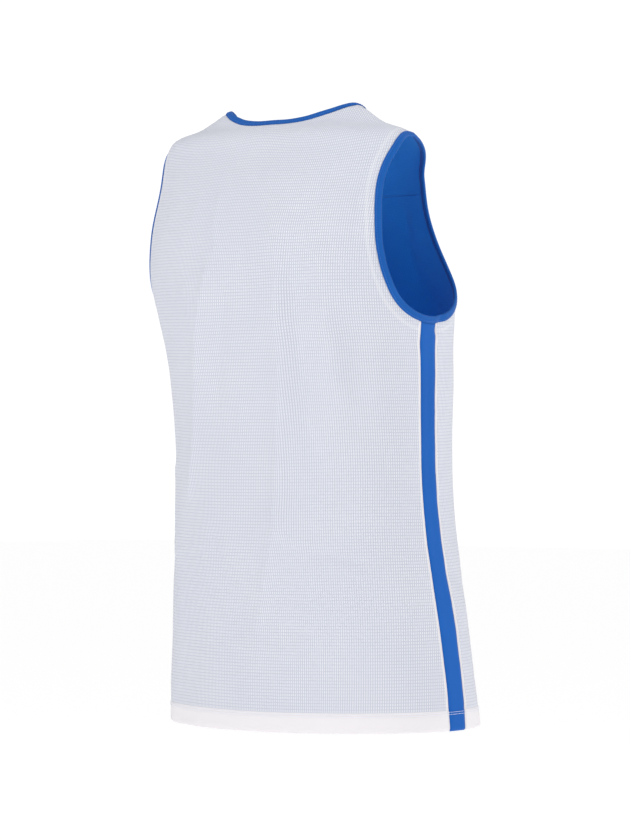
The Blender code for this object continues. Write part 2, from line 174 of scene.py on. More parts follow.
CREASES = DEGREES_AND_MM * (
    (68, -95, 78, -155, 10, 1.5),  # down from the left shoulder
    (73, -185, 60, -325, 8, 2.5), (59, -338, 48, -445, 8, 2.5), (86, -216, 76, -335, 12, -2.3),
    (92, -335, 87, -455, 10, 1.4),
    (120, -100, 121, -180, 12, 1.2),  # the crest of the drape down the back
    (121, -198, 114, -470, 12, 3.6), (113, -490, 98, -600, 12, 2.3),
    (116, -488, 126, -507, 10, 1.8),
    (128, -150, 128, -215, 10, -1.5),  # the trough beside it
    (128, -230, 128, -335, 12, -2), (129, -350, 135, -420, 12, -1.8),
    (141, -165, 140, -220, 9, 2.1), (140, -232, 142, -300, 9, 2.3),
    (143, -312, 147, -340, 9, 1.5), (150, -255, 153, -330, 12, -0.5),
    (153, -75, 137, -115, 10, -1.9),  # from the right shoulder, slantwise
    (167, -42, 160, -90, 6, -1.5), (159, -100, 155, -142, 6, -1.5),
    (166, -220, 173, -270, 8, -2.1),
    (128, -500, 145, -513, 8, 0.9),  # crossways, in the small of the back
    (132, -517, 151, -530, 6, -2.3), (78, -625, 120, -634, 10, 1.2),
    (166, -572, 166, -604, 6, 1.5),  # short ones beside the right stripe
    (167, -404, 172, -411, 6, 1.4), (169, -455, 173, -470, 7, -1.2),
    (-173, -238, -175, -253, 5, -2.4),  # in front of the right stripe
    (-166, -300, -170, -360, 10, 1.8), (-173, -455, -172, -550, 6, -2.1),
    (-172, -555, -168, -595, 8, 1.6), (-166, -600, -168, -660, 8, -1.4),
    (-160, -430, -166, -500, 11, -1.8),
    (66, -500, 74, -560, 11, -1.8),  # the left side
    (58, -200, 64, -290, 12, 1.5), (30, -300, 38, -380, 10, -2.1),
    (26, -420, 34, -520, 10, 2.1), (20, -270, 13, -255, 6, -2.1), (12, -430, 9, -470, 7, 1.4),
    (14, -590, 12, -625, 6, 1.5), (-14, -268, -9, -254, 6, -2.3),
    (-18, -330, -26, -400, 10, 2.1), (-38, -470, -30, -540, 12, -1.8),
    (-40, -290, -47, -400, 10, 2.3),  # the front
    (-52, -410, -60, -530, 11, -2.3), (-66, -540, -58, -600, 13, 1.8),
    (-66, -165, -58, -270, 10, -1.9), (-84, -160, -86, -230, 13, -1.5),
    (-83, -300, -86, -450, 11, 2.9), (-96, -210, -93, -290, 10, -1.9),
    (-100, -560, -108, -620, 12, -1.5), (-110, -400, -104, -520, 11, 2.3),
    (-120, -240, -127, -350, 10, 2.5), (-118, -470, -110, -540, 12, -1.5),
    (-128, -110, -122, -180, 10, 1.5), (-52, -110, -58, -155, 10, 1.5),
    (-142, -540, -148, -600, 12, -1.8), (-70, -522, -88, -516, 6, -1.9),
)
MEAN_RADIUS = 0.165  # turns an angle into a distance round the body
WAVER_DEPTH = 0.00035
WAVER_END = -0.03  # the unevenness fades out below this height
WAVER_FADE = 0.08


def rise_of(place, height, folds):
    """How far the ridges and troughs of a table lift the cloth at each place."""
    rise = np.zeros(place.shape[:-1])
    for start_angle, start_height, end_angle, end_height, half_width, lift in folds:
        turn = short_turn(place[..., 0] - start_angle)
        flat = np.stack([turn * MEAN_RADIUS, height - start_height], axis=-1)
        line = np.array([(end_angle - start_angle) * MEAN_RADIUS, end_height - start_height])
        share = np.clip(flat @ line / (line @ line), 0, 1)
        apart = np.linalg.norm(flat - share[..., None] * line, axis=-1)
        rise += lift * np.exp(-((apart / half_width) ** 2))
    return rise


def waver(place, height):
    """A slight unevenness of a few long waves that cross, fading out up the shoulders."""
    round_body = place[..., 0] * MEAN_RADIUS
    waves = np.sin(118 * round_body + 9 * height + 0.7) * np.sin(21 * height + 1.1)
    waves += np.sin(74 * round_body - 26 * height) * np.cos(15 * height + 0.4)
    waves += 0.6 * np.sin(43 * round_body + 61 * height + 2.0)
    return WAVER_DEPTH * waves * np.clip((WAVER_END - height) / WAVER_FADE, 0, 1)


def cloth(place, lift=0.0):
    """Points of the worn cloth, a lift above its outer face."""
    height = ring(place[..., 1])[HEIGHT]
    rise = rise_of(place, height, FOLDS) + rise_of(place, height, CREASES)
    rise += waver(place, height) + lift
    return form(place) + outward(place) * rise[..., None]


print(len(FOLDS), "folds and", len(CREASES), "creases")

# %% [markdown]
# ## Where the cloth ends and where it is sewn
# The armhole is drawn as a smooth closed curve seen from the side and the neck as one seen from
# above, as a cutter would draw them, and both are laid on the form.  Each binding meets the
# panels on the same curve moved away from the opening by the binding's width.  Moving a curve
# over a curved surface is a small sum at each point: the step in angle and run that goes the
# right way and the right distance.

# %% Openings and seams
# y, height of the finished armhole edge in mm, from the underarm up the back and down the front
ARMHOLE = MM * np.array((
    (-25, -237), (6, -229), (29, -211), (42, -188), (48, -160), (48, -130), (44, -100),
    (36, -70), (26, -48), (13, -31), (-3, -22), (-22, -22), (-44, -30), (-62, -43), (-74, -57),
    (-83, -74), (-94, -100), (-102, -130), (-107, -160), (-106, -186), (-95, -210), (-66, -230),
))
# x, y of the finished neck edge in mm, from the middle of the back to the middle of the front
NECK = MM * np.array((
    (0, 31), (30, 30), (60, 24), (84, 13), (99, -2), (103, -18), (101, -40), (92, -65),
    (75, -87), (52, -102), (27, -111), (0, -114),
))
KNIT_THICKNESS = 0.0010
LAYER_GAP = 0.0003
SEAM_GAP = 0.0003
HEM_EXTRA = 0.0006
HEM_RISE = 0.009  # the hem hangs this much higher in front
HEM_RISE_FROM = -0.33
LINING_LIFT = 0.006
BINDING_WIDTH = 0.0075
SEAM_FORWARD = 0.008  # the shoulder seam lies this much in front of the side line
ARM_POINTS = 720  # how finely each edge is kept
NECK_POINTS = 360
NECK_LOWEST = -0.18  # the neck's edge is looked for above this height
MOVE_STEPS = 4


def run_at_height(height):
    runs = np.linspace(0, NECK_POINT_RUN, 3000)
    return np.interp(height, ring(runs)[HEIGHT], runs)


def armhole_places():
    """The finished edge of the left armhole, closed, starting at the underarm."""
    wrapped = np.concatenate([ARMHOLE[-3:], ARMHOLE, ARMHOLE[:4]])
    knots = along(wrapped)
    at = np.linspace(knots[3], knots[3 + len(ARMHOLE)], ARM_POINTS + 1)
    y, height = through(knots, wrapped, at).T
    run = run_at_height(height)
    _, half_width, side_y, back, front, squareness, _ = ring(run)
    deep = y - side_y
    depth = np.where(deep >= 0, back, front)
    x = half_width * (1 - np.abs(deep / depth) ** squareness) ** (1 / squareness)
    return place_at(np.arctan2(deep, x), run)


def neck_places():
    """The left half of the finished neck edge, from the middle of the back to the front."""
    other = NECK * [-1, 1]
    whole = np.concatenate([other[3:0:-1], NECK, other[-2:-5:-1]])
    knots = along(whole)
    at = np.linspace(knots[3], knots[2 + len(NECK)], NECK_POINTS + 1)
    runs = np.linspace(run_at_height(NECK_LOWEST), NECK_POINT_RUN, 1600)
    side_y = ring(runs)[SIDE_Y]
    places = []
    for x, y in through(knots, whole, at):
        angle = np.arctan2(y - side_y, x)
        points = form(place_at(angle, runs))
        reach = np.hypot(points[:, 0], points[:, 1] - side_y)
        inside = np.flatnonzero(reach <= np.hypot(x, y - side_y))
        index = inside[0] if len(inside) else len(runs) - 1
        places.append((angle[index], runs[index]))
    return np.array(places)


def moved_in(places, distance, closed):
    """An edge moved over the cloth in small steps, away from the opening that it runs round."""
    for _ in range(MOVE_STEPS):
        places = places + small_step_in(places, distance / MOVE_STEPS, closed)
    return places


def small_step_in(places, distance, closed):
    points = form(places)
    if closed:
        direction = np.roll(points[:-1], -1, axis=0) - np.roll(points[:-1], 1, axis=0)
        direction = np.concatenate([direction, direction[:1]])
    else:
        direction = np.gradient(points, axis=0)
        direction[[0, -1], 1:] = 0
    by_angle, by_run = slopes_of_form(places)
    away = np.cross(np.cross(by_angle, by_run), direction)
    away /= np.linalg.norm(away, axis=-1, keepdims=True)
    moved = np.empty_like(places)
    for i in range(len(places)):
        slopes = np.stack([by_angle[i], by_run[i]], axis=1)
        moved[i] = np.linalg.lstsq(slopes, away[i] * distance, rcond=None)[0]
    if not closed:
        moved[[0, -1], 0] = 0
    return moved


def crossing(values):
    """Where a row of values first changes sign, as a fractional index."""
    before = np.flatnonzero(np.sign(values[:-1]) != np.sign(values[1:]))[0]
    return before + values[before] / (values[before] - values[before + 1])


def read(places, index):
    """A line of places read at fractional indices."""
    index = np.asarray(index, float)
    return np.stack([np.interp(index, np.arange(len(places)), part) for part in places.T], -1)


def evenly(places, start, end, count):
    """Fractional indices that split a stretch of a line into equal lengths."""
    index = np.linspace(start, end, 400)
    run = along(form(read(places, index)))
    return np.interp(np.linspace(0, run[-1], count + 1), run, index)


def stripe_edge(run, gap):
    """The angle of the side stripe's edge, measured from the side line."""
    return (ring(run)[STRIPE_WIDTH] / 2 + gap) / ring(run)[HALF_WIDTH]


def shoulder_seam(run, gap):
    return (gap - SEAM_FORWARD) / ring(run)[HALF_WIDTH]


def hem_hung(places):
    """The places shifted up towards the front so that the hem hangs lower at the back."""
    height = ring(places[..., 1])[HEIGHT]
    fade = np.clip((HEM_RISE_FROM - height) / (HEM_RISE_FROM - RINGS[0, HEIGHT]), 0, 1)
    rise = HEM_RISE * (1 - np.sin(places[..., 0])) / 2
    return places + place_at(0, fade * rise)


def mirrored(places):
    """The same places on the wearer's right."""
    return place_at(np.pi - places[..., 0], places[..., 1])


ARM_EDGE = armhole_places()
ARM_SEAM = moved_in(ARM_EDGE, -BINDING_WIDTH, closed=True)
NECK_EDGE = neck_places()
NECK_SEAM = moved_in(NECK_EDGE, BINDING_WIDTH, closed=False)
HALF_GAP = SEAM_GAP / 2
UNDERARM = len(ARM_SEAM) - 1
print("armhole edge:", round(float(along(form(ARM_EDGE))[-1]), 3), "m round")
print("neck edge:", round(2 * float(along(form(NECK_EDGE))[-1]), 3), "m round")

# %% [markdown]
# ## Each panel as a grid of places
# Half a front or back panel has four sides: the hem, the stripe seam with the armhole, the
# shoulder with the neck, and the middle.  Lines ruled from side to side fill it, and Winslow's
# smoothing spreads them evenly, so that they don't cross beside the neck.  It is slow, so it is
# done on a coarse grid, and smooth curves through that give the fine one.  The corners at the
# underarm and the neck point stay sharp, as each stretch has a curve of its own.

# %% Panel grids
LOWER_ROWS = 11
ARMHOLE_ROWS = 18
SHOULDER_COLUMNS = 5
BACK_NECK_COLUMNS = 9
FRONT_NECK_COLUMNS = 10
SMOOTHING_ROUNDS = 10
# rows above the hem edge that carry the rolled fold and the step at the top of the turn
HEM_ROWS = MM * np.array((0, 0.7, 1.8, 3.5, 7, 11, 15, 19, 21.5, 22.8, 23.6, 24.4, 25.5, 27.5))
CELL = 0.0042  # the fine grid's cells are about this long
PAST_TOP = 60  # points of the armhole seam kept beyond its top
PAST_UNDERARM = 100  # points of it passed over before the shoulder seam is looked for


def relaxed(places, first_row):
    """A grid evened out over the form above its first row, with its outline held still."""
    for _ in range(SMOOTHING_ROUNDS):
        inner = places[first_row:]
        points = form(inner)
        beside = points[1:-1, 2:], points[1:-1, :-2]
        above = points[2:, 1:-1], points[:-2, 1:-1]
        across = (beside[0] - beside[1]) / 2
        up = (above[0] - above[1]) / 2
        cross = (points[2:, 2:] - points[:-2, 2:] - points[2:, :-2] + points[:-2, :-2]) / 4
        wide, tall, skew = (
            (one * other).sum(-1, keepdims=True)
            for one, other in ((across, across), (up, up), (across, up))
        )
        middle = tall * (beside[0] + beside[1]) + wide * (above[0] + above[1])
        middle = (middle - 2 * skew * cross) / (2 * (tall + wide))
        want = middle - points[1:-1, 1:-1]
        by_angle, by_run = slopes_of_form(inner[1:-1, 1:-1])
        aa, ab, bb = (by_angle**2).sum(-1), (by_angle * by_run).sum(-1), (by_run**2).sum(-1)
        ta, tb = (by_angle * want).sum(-1), (by_run * want).sum(-1)
        step = np.stack([bb * ta - ab * tb, aa * tb - ab * ta], axis=-1)
        inner[1:-1, 1:-1] += 0.8 * step / (aa * bb - ab * ab)[..., None]
    return places


def finer(places, corner, cell, first=()):
    """More rows through a grid of places, with a sharp corner kept: (rows, the corner's row)."""
    points = form(places)
    steps = np.linalg.norm(np.diff(points, axis=0), axis=-1).mean(axis=1)
    knots = np.concatenate([[0.0], np.cumsum(steps)])
    parts = []
    for start, end in ((0, corner), (corner, len(places) - 1)):
        at = np.linspace(knots[start], knots[end], round((knots[end] - knots[start]) / cell) + 1)
        if start == 0 and len(first):
            at = np.concatenate([first, at[at > first[-1] + cell / 2]])
        stretch = slice(start, end + 1)
        parts.append(through(knots[stretch], places[stretch], at))
    return np.concatenate([parts[0], parts[1][1:]]), len(parts[0]) - 1


class HalfPanel:
    """The left half of a front or back panel: rows of places from the side to the middle."""

    def __init__(self, turn, neck_columns):
        # turn is 1 for the back and -1 for the front
        half = len(ARM_SEAM) // 2
        line = ARM_SEAM[: half + PAST_TOP] if turn > 0 else ARM_SEAM[: half - PAST_TOP : -1]
        low = crossing(turn * line[:, 0] - stripe_edge(line[:, 1], HALF_GAP))
        angle, run = line[PAST_UNDERARM:].T
        top = PAST_UNDERARM + crossing(turn * (angle - shoulder_seam(run, turn * HALF_GAP)))
        arm_line = read(line, evenly(line, low, top, ARMHOLE_ROWS))
        seam_at = crossing(NECK_SEAM[:, 0] - shoulder_seam(NECK_SEAM[:, 1], turn * HALF_GAP))
        stop = 0 if turn > 0 else len(NECK_SEAM) - 1
        neck_line = read(NECK_SEAM, evenly(NECK_SEAM, seam_at, stop, neck_columns))
        seam_runs = np.linspace(arm_line[-1, 1], neck_line[0, 1], SHOULDER_COLUMNS + 1)
        seam = place_at(shoulder_seam(seam_runs, turn * HALF_GAP), seam_runs)
        top_line = np.concatenate([seam[:-1], neck_line])
        lower = np.linspace(0, arm_line[0, 1], LOWER_ROWS + 1)[:-1]
        low_side = place_at(turn * stripe_edge(lower, HALF_GAP), lower)
        side = np.concatenate([low_side, arm_line])
        rise = np.linspace(0, 1, ARMHOLE_ROWS + 1)
        upper = arm_line[0, 1] + rise * (neck_line[-1, 1] - arm_line[0, 1])
        middle_line = place_at(turn * np.pi / 2, np.concatenate([lower, upper]))
        s = np.linspace(0, 1, SHOULDER_COLUMNS + neck_columns + 1)[None, :, None]
        ruled = side[:, None] * (1 - s) + middle_line[:, None] * s
        bend = top_line - (top_line[0] * (1 - s[0]) + top_line[-1] * s[0])
        pull = np.clip((np.arange(len(side)) - LOWER_ROWS) / ARMHOLE_ROWS, 0, 1) ** 2
        self.coarse = relaxed(ruled + pull[:, None, None] * bend, LOWER_ROWS)
        self.turn = turn

    def places(self, cell=CELL, first=HEM_ROWS):
        """The whole panel, its columns running with the angle."""
        columns, _ = finer(np.swapaxes(self.coarse, 0, 1), SHOULDER_COLUMNS, cell)
        half, self.underarm_row = finer(np.swapaxes(columns, 0, 1), LOWER_ROWS, cell, first)
        half = hem_hung(half)
        other = mirrored(half)
        if self.turn > 0:
            return np.concatenate([half, other[:, -2::-1]], axis=1)
        return np.concatenate([other, half[:, -2::-1]], axis=1)


PANELS = {"back": HalfPanel(1, BACK_NECK_COLUMNS), "front": HalfPanel(-1, FRONT_NECK_COLUMNS)}
for name, panel in PANELS.items():
    print(name, "panel grid:", panel.places().shape[:2])

# %% [markdown]
# ## Materials
# The white layer is a birdseye knit: rows of small eyes, 2.8 mm apart, in rows 3.8 mm apart.
# They are too many to cut through (about 30,000 a panel), so nodes paint and dimple them.  The
# nodes read the piece's flat pattern, a UV map in metres, so the eyes follow the cloth over
# every fold.  Colour alone would look printed, so the pattern also drives a bump.

# %% Helpers that wire nodes
BUMP_STRENGTH = 0.8


def new_material(name, roughness, **sockets):
    made = bpy.data.materials.new(name)
    made.use_nodes = True
    shader = made.node_tree.nodes["Principled BSDF"]
    shader.inputs["Roughness"].default_value = roughness
    for socket, value in sockets.items():
        shader.inputs[socket.replace("_", " ")].default_value = value
    return made, made.node_tree, shader


def feed(tree, socket, value):
    """Sets a socket to a number or a colour, or wires another node's output to it."""
    if isinstance(value, bpy.types.NodeSocket):
        tree.links.new(value, socket)
    else:
        socket.default_value = value


def math_node(tree, operation, *values):
    node = tree.nodes.new("ShaderNodeMath")
    node.operation = operation
    for socket, value in zip(node.inputs, values):
        feed(tree, socket, value)
    return node.outputs[0]


def product(tree, *values):
    return reduce(lambda one, other: math_node(tree, "MULTIPLY", one, other), values)


def added(tree, *values):
    return reduce(lambda one, other: math_node(tree, "ADD", one, other), values)


def wave(tree, value, pitch, kind="COSINE"):
    """A wave along a value, with one crest in each pitch."""
    return math_node(tree, kind, product(tree, value, 2 * math.pi / pitch))


def ramp(tree, value, low, high, out_low=0.0, out_high=1.0):
    """A soft step of a value from one number to another."""
    node = tree.nodes.new("ShaderNodeMapRange")
    node.interpolation_type = "SMOOTHSTEP"
    tree.links.new(value, node.inputs["Value"])
    for socket, number in zip(node.inputs[1:5], (low, high, out_low, out_high)):
        socket.default_value = number
    return node.outputs[0]


def mixed(tree, share, first, second):
    node = tree.nodes.new("ShaderNodeMix")
    node.data_type = "RGBA"
    for name, value in (("Factor", share), ("A", first), ("B", second)):
        feed(tree, node.inputs[name], value)
    return node.outputs["Result"]


def noise(tree, vector, scale):
    node = tree.nodes.new("ShaderNodeTexNoise")
    tree.links.new(vector, node.inputs["Vector"])
    node.inputs["Scale"].default_value = scale
    return node.outputs["Fac"]


def surface(tree, shader, colour, height, depth):
    """Gives a shader its colour, and its bump from a height."""
    tree.links.new(colour, shader.inputs["Base Color"])
    node = tree.nodes.new("ShaderNodeBump")
    node.inputs["Strength"].default_value = BUMP_STRENGTH
    node.inputs["Distance"].default_value = depth
    tree.links.new(height, node.inputs["Height"])
    tree.links.new(node.outputs["Normal"], shader.inputs["Normal"])


def flat_pattern(tree):
    """The flat pattern's coordinates in metres: (vector, across, up)."""
    uv = tree.nodes.new("ShaderNodeUVMap")
    uv.uv_map = "flat"
    parts = tree.nodes.new("ShaderNodeSeparateXYZ")
    tree.links.new(uv.outputs["UV"], parts.inputs[0])
    return uv.outputs["UV"], parts.outputs["X"], parts.outputs["Y"]


def from_seam(tree, name):
    """How far each point is from a seam, in metres, as stored on the piece."""
    node = tree.nodes.new("ShaderNodeAttribute")
    node.attribute_name = name
    return node.outputs["Fac"]


def repeat(tree, value, pitch):
    """Where a value lies in its repeat, from -0.5 to 0.5."""
    return added(tree, math_node(tree, "FRACT", math_node(tree, "DIVIDE", value, pitch)), -0.5)


def linear(red, green, blue):
    """A screen colour, 0 to 255, as the linear colour that a shader wants."""
    parts = [part / 255 for part in (red, green, blue)]
    return (*[p / 12.92 if p < 0.04045 else ((p + 0.055) / 1.055) ** 2.4 for p in parts], 1.0)


print("helpers ready")

# %% [markdown]
# ## The white birdseye knit
# The eye is a small hollow where the blue layer lies close behind, and its colour is partly that
# blue and partly painted shade of the hollow.  Between the columns of eyes the knit sinks into
# upright furrows, painted darker as painted shade, its rows stand in low level ribs, and stitches
# far finer than the eyes give the surface its soft grain.  Near a seam and in the turned hem the
# knit is doubled, so the eyes are filled and the cloth looks whiter.

# %% White knit
EYE_PITCH_ACROSS = 0.0028
EYE_PITCH_UP = 0.0038
EYE_WIDTH = 0.0011
EYE_HEIGHT = 0.0012
EYE_EDGE = (1.5, 0.5)  # its soft rim, in squares of its half size
STITCH = 0.00065
TURN_FADE = (0.0240, 0.0252)  # the eyes open between these heights above the hem
SIDE_FADE = (0.0034, 0.0042)  # and between these distances from a side seam
ARM_ALLOWANCE = (0.0080, 0.0095), (0.0135, 0.0120)
ARM_ALLOWANCE_OPEN = 0.70  # how open the eyes stay over the armhole's allowance
PLAIN_DARK, PLAIN_LIGHT = linear(216, 217, 224), linear(220, 220, 226)
# The furrow colour is painted shade; the eye colour is partly the blue layer behind, partly
# painted shade.
DOUBLED, FURROW_SHADE, EYE_BLUE_AND_SHADE = linear(222, 219, 222), linear(184, 188, 200), linear(178, 183, 199)
ROW_RISE, FURROW_RISE, LOOP_RISE, EYE_RISE = 0.04, -0.30, 0.12, -1.0
KNIT_DEPTH = 0.00018


def white_knit():
    made, tree, shader = new_material(
        "white birdseye knit", 0.82, Sheen_Weight=0.12, Sheen_Roughness=0.5,
        Specular_IOR_Level=0.25,
    )
    vector, across, up = flat_pattern(tree)
    eye_x = product(tree, repeat(tree, across, EYE_PITCH_ACROSS), 2 * EYE_PITCH_ACROSS / EYE_WIDTH)
    eye_y = product(tree, repeat(tree, up, EYE_PITCH_UP), 2 * EYE_PITCH_UP / EYE_HEIGHT)
    reach = added(tree, product(tree, eye_x, eye_x), product(tree, eye_y, eye_y))
    to_armhole = from_seam(tree, "armhole_seam")
    allowance = product(tree, *(ramp(tree, to_armhole, *ends) for ends in ARM_ALLOWANCE))
    open_knit = product(
        tree, ramp(tree, up, *TURN_FADE), ramp(tree, from_seam(tree, "side_seam"), *SIDE_FADE),
        ramp(tree, allowance, 0.0, 1.0, 1.0, ARM_ALLOWANCE_OPEN),
    )
    eye = product(tree, ramp(tree, reach, *EYE_EDGE), open_knit)
    furrow = product(tree, ramp(tree, wave(tree, across, EYE_PITCH_ACROSS), -1, 1), open_knit)
    patchy = ramp(tree, noise(tree, vector, 9.0), 0.35, 0.65)
    colour = mixed(tree, open_knit, DOUBLED, mixed(tree, patchy, PLAIN_DARK, PLAIN_LIGHT))
    # painted shade: the furrows and the eyes darken the colour
    colour = mixed(tree, eye, mixed(tree, furrow, colour, FURROW_SHADE), EYE_BLUE_AND_SHADE)
    loops = product(tree, wave(tree, across, STITCH, "SINE"), wave(tree, up, STITCH, "SINE"))
    height = added(
        tree, product(tree, wave(tree, up, EYE_PITCH_UP), ROW_RISE),
        product(tree, furrow, FURROW_RISE), product(tree, loops, LOOP_RISE),
        product(tree, eye, EYE_RISE),
    )
    surface(tree, shader, colour, height, KNIT_DEPTH)
    return made


WHITE_KNIT = white_knit()
print("white knit:", len(WHITE_KNIT.node_tree.nodes), "nodes")

# %% [markdown]
# ## The blue layer and the blue trim
# The inner layer is the same knit in blue.  From inside, its loops stand in fine upright ribs,
# with painted shade in their grooves.
# The stripes and bindings are a closer, smoother knit, so they get a finer rib and a little more
# gloss, and the bindings get a darker blue, which is painted shade.

# %% Blue knits
def blue_knit(name, dark, light, rib, grain, depth, roughness):
    made, tree, shader = new_material(
        name, roughness, Sheen_Weight=0.06, Sheen_Roughness=0.4, Specular_IOR_Level=0.15,
    )
    vector, across, up = flat_pattern(tree)
    ribs, loops = wave(tree, across, rib), wave(tree, up, grain, "SINE")
    patchy = ramp(tree, noise(tree, vector, 14.0), 0.3, 0.7, -0.1, 0.1)
    # painted shade: the ribs and loops lighten the colour on their crests and darken it in their
    # grooves; the noise is a random tone
    rib_shade_and_tone = added(tree, product(tree, ribs, 0.22), product(tree, loops, 0.10), patchy)
    colour = mixed(tree, ramp(tree, rib_shade_and_tone, -0.5, 0.5), dark, light)
    height = added(tree, product(tree, ribs, 0.6), product(tree, loops, 0.4))
    surface(tree, shader, colour, height, depth)
    return made


# rib, grain, depth of the bump, roughness
INNER_KNIT = 0.0026, 0.0019, 0.00012, 0.75
CLOSE_KNIT = 0.0009, 0.0007, 0.00006, 0.62
BLUE_INNER = blue_knit(
    "blue inner knit", linear(32, 128, 208), linear(44, 140, 220), *INNER_KNIT)
# the bindings' darker blue is painted shade
BLUE_BAND_PAINTED_DARKER = blue_knit(
    "blue binding knit", linear(14, 80, 156), linear(20, 90, 168), *CLOSE_KNIT)
BLUE_TRIM = blue_knit(
    "blue trim knit", linear(14, 84, 166), linear(19, 94, 178), *CLOSE_KNIT)
THREAD = new_material("white thread", 0.5, Base_Color=linear(226, 230, 240))[0]
BLUE_THREAD = new_material("blue thread", 0.5, Base_Color=linear(40, 104, 196))[0]
print("blue knits and threads ready")

# %% [markdown]
# ## Cutting a piece of knit
# A grid made by bmesh is laid on the cloth row by row, and extruded inwards for the knit's
# thickness.  Solidify would lean outwards at a free edge, and the layers would touch.  A sewn
# edge dips a little into its seam, and the hem rolls under and stands out where it is doubled.
# All of that goes by distances measured over the cloth, which are also the flat pattern.

# %% Distances over the cloth
BODY_STEPS = 24  # short straight steps that measure round the body
HEM_STEPS = 39  # and up from the hem


def path_length(start, end, steps):
    """The length over the form from each start to its own end, in short steps."""
    length, last = 0.0, form(start)
    for step in range(1, steps + 1):
        point = form(start + (end - start) * step / steps)
        length = length + np.linalg.norm(point - last, axis=-1)
        last = point
    return length


def ring_distance(places, middle):
    """The distance round the body from a middle line, at each place's own height."""
    turn, run = short_turn(places[..., 0] - middle), places[..., 1]
    length = path_length(place_at(middle, run), place_at(middle + turn, run), BODY_STEPS)
    return np.sign(turn) * length


def above_hem(places):
    """The distance up the cloth from the hem, at each place's own angle."""
    return path_length(hem_hung(place_at(places[..., 0], 0.0)), places, HEM_STEPS)


def nearest(points, line):
    """The distance from each point to the nearest point of a line."""
    found = np.full(points.shape[:-1], np.inf)
    for start in range(0, len(line), 60):
        gap = points[..., None, :] - line[start:start + 60]
        found = np.minimum(found, np.sqrt((gap**2).sum(-1)).min(-1))
    return found


def both_sides(line):
    return np.concatenate([line, line * [-1, 1, 1]])


STRIPE_RUNS = np.linspace(0, ARM_SEAM[0, 1], 240)
SIDE_LINES = both_sides(np.concatenate([
    form(hem_hung(place_at(side * stripe_edge(STRIPE_RUNS, 0), STRIPE_RUNS)))
    for side in (1, -1)
]))
ARM_LINES = both_sides(form(ARM_SEAM))
NECK_LINES = both_sides(form(NECK_SEAM))
SHOULDER_RUNS = np.linspace(ARM_SEAM[len(ARM_SEAM) // 2, 1], NECK_POINT_RUN, 60)
SHOULDER_LINES = both_sides(form(place_at(shoulder_seam(SHOULDER_RUNS, 0), SHOULDER_RUNS)))
print("side seams:", round(float(along(SIDE_LINES[:len(STRIPE_RUNS)])[-1]), 3), "m long")

# %% [markdown]
# ## A sheet with thickness
# These helpers shape a sheet's edges, fill a flat grid and hand the result to the frame.

# %% Pieces of knit
ROLL_ROWS, ROLL_RISES = MM * np.array(((0, 0.7, 1.8, 3.5), (-1.1, -0.4, 0.2, 0.6)))
TURN_TOP = (0.0250, 0.0232)  # the doubled hem begins between these heights
LINING_TURN = (0.0205, 0.0190)  # and its inside, below the lining's edge, between these
DIP = 0.0006  # how far an edge sinks into its seam
DIP_WIDTH = 0.0018
ALLOWANCE_RISE = 0.0003  # the cloth over a seam allowance stands this much higher
ALLOWANCE_END = (0.0075, 0.0095)
WELD = 1e-6


def smooth_step(value, low, high):
    share = np.clip((value - low) / (high - low), 0, 1)
    return share * share * (3 - 2 * share)


def rise_and_thickness(up, to_seam, outer):
    """How a piece dips, rolls and doubles towards its edges."""
    rise = -DIP * (1 - smooth_step(to_seam, 0, DIP_WIDTH))
    rise += ALLOWANCE_RISE * (1 - smooth_step(to_seam, *ALLOWANCE_END))
    if not outer:
        return rise, KNIT_THICKNESS + HEM_EXTRA * smooth_step(up, *LINING_TURN)
    roll = through(ROLL_ROWS, ROLL_RISES, np.clip(up, 0, ROLL_ROWS[-1]))
    rise += np.where(up < ROLL_ROWS[-1], roll, HEM_EXTRA * smooth_step(up, *TURN_TOP))
    return rise, KNIT_THICKNESS + 0 * up


def grid_in(bm, rows, columns):
    """A new flat grid, as its vertices, each with its row and column."""
    grid = bmesh.ops.create_grid(bm, x_segments=columns, y_segments=rows, size=1)
    for vertex in grid["verts"]:
        x, y = (vertex.co.x + 1) / 2, (vertex.co.y + 1) / 2
        yield vertex, round(y * rows), round(x * columns)


def laid_flat(bm, flat):
    """Turns the flat pattern kept on the vertices into a UV map."""
    uv = bm.loops.layers.uv.new("flat")
    for face in bm.faces:
        face.smooth = True
        for loop in face.loops:
            loop[uv].uv = loop.vert[flat][:2]
    bm.verts.layers.float_vector.remove(flat)


def in_scene(name, data):
    made = bpy.data.objects.new(name, data)
    bpy.context.scene.collection.objects.link(made)
    return made


def finished(name, bm, material, replaces):
    """The bmesh as a piece that rides on the jersey."""
    mesh = bpy.data.meshes.new(name)
    bm.to_mesh(mesh)
    bm.free()
    mesh.materials.append(material)
    made = in_scene(name, mesh)
    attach(made, "root")
    if replaces:
        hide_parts(*replaces)
    return made


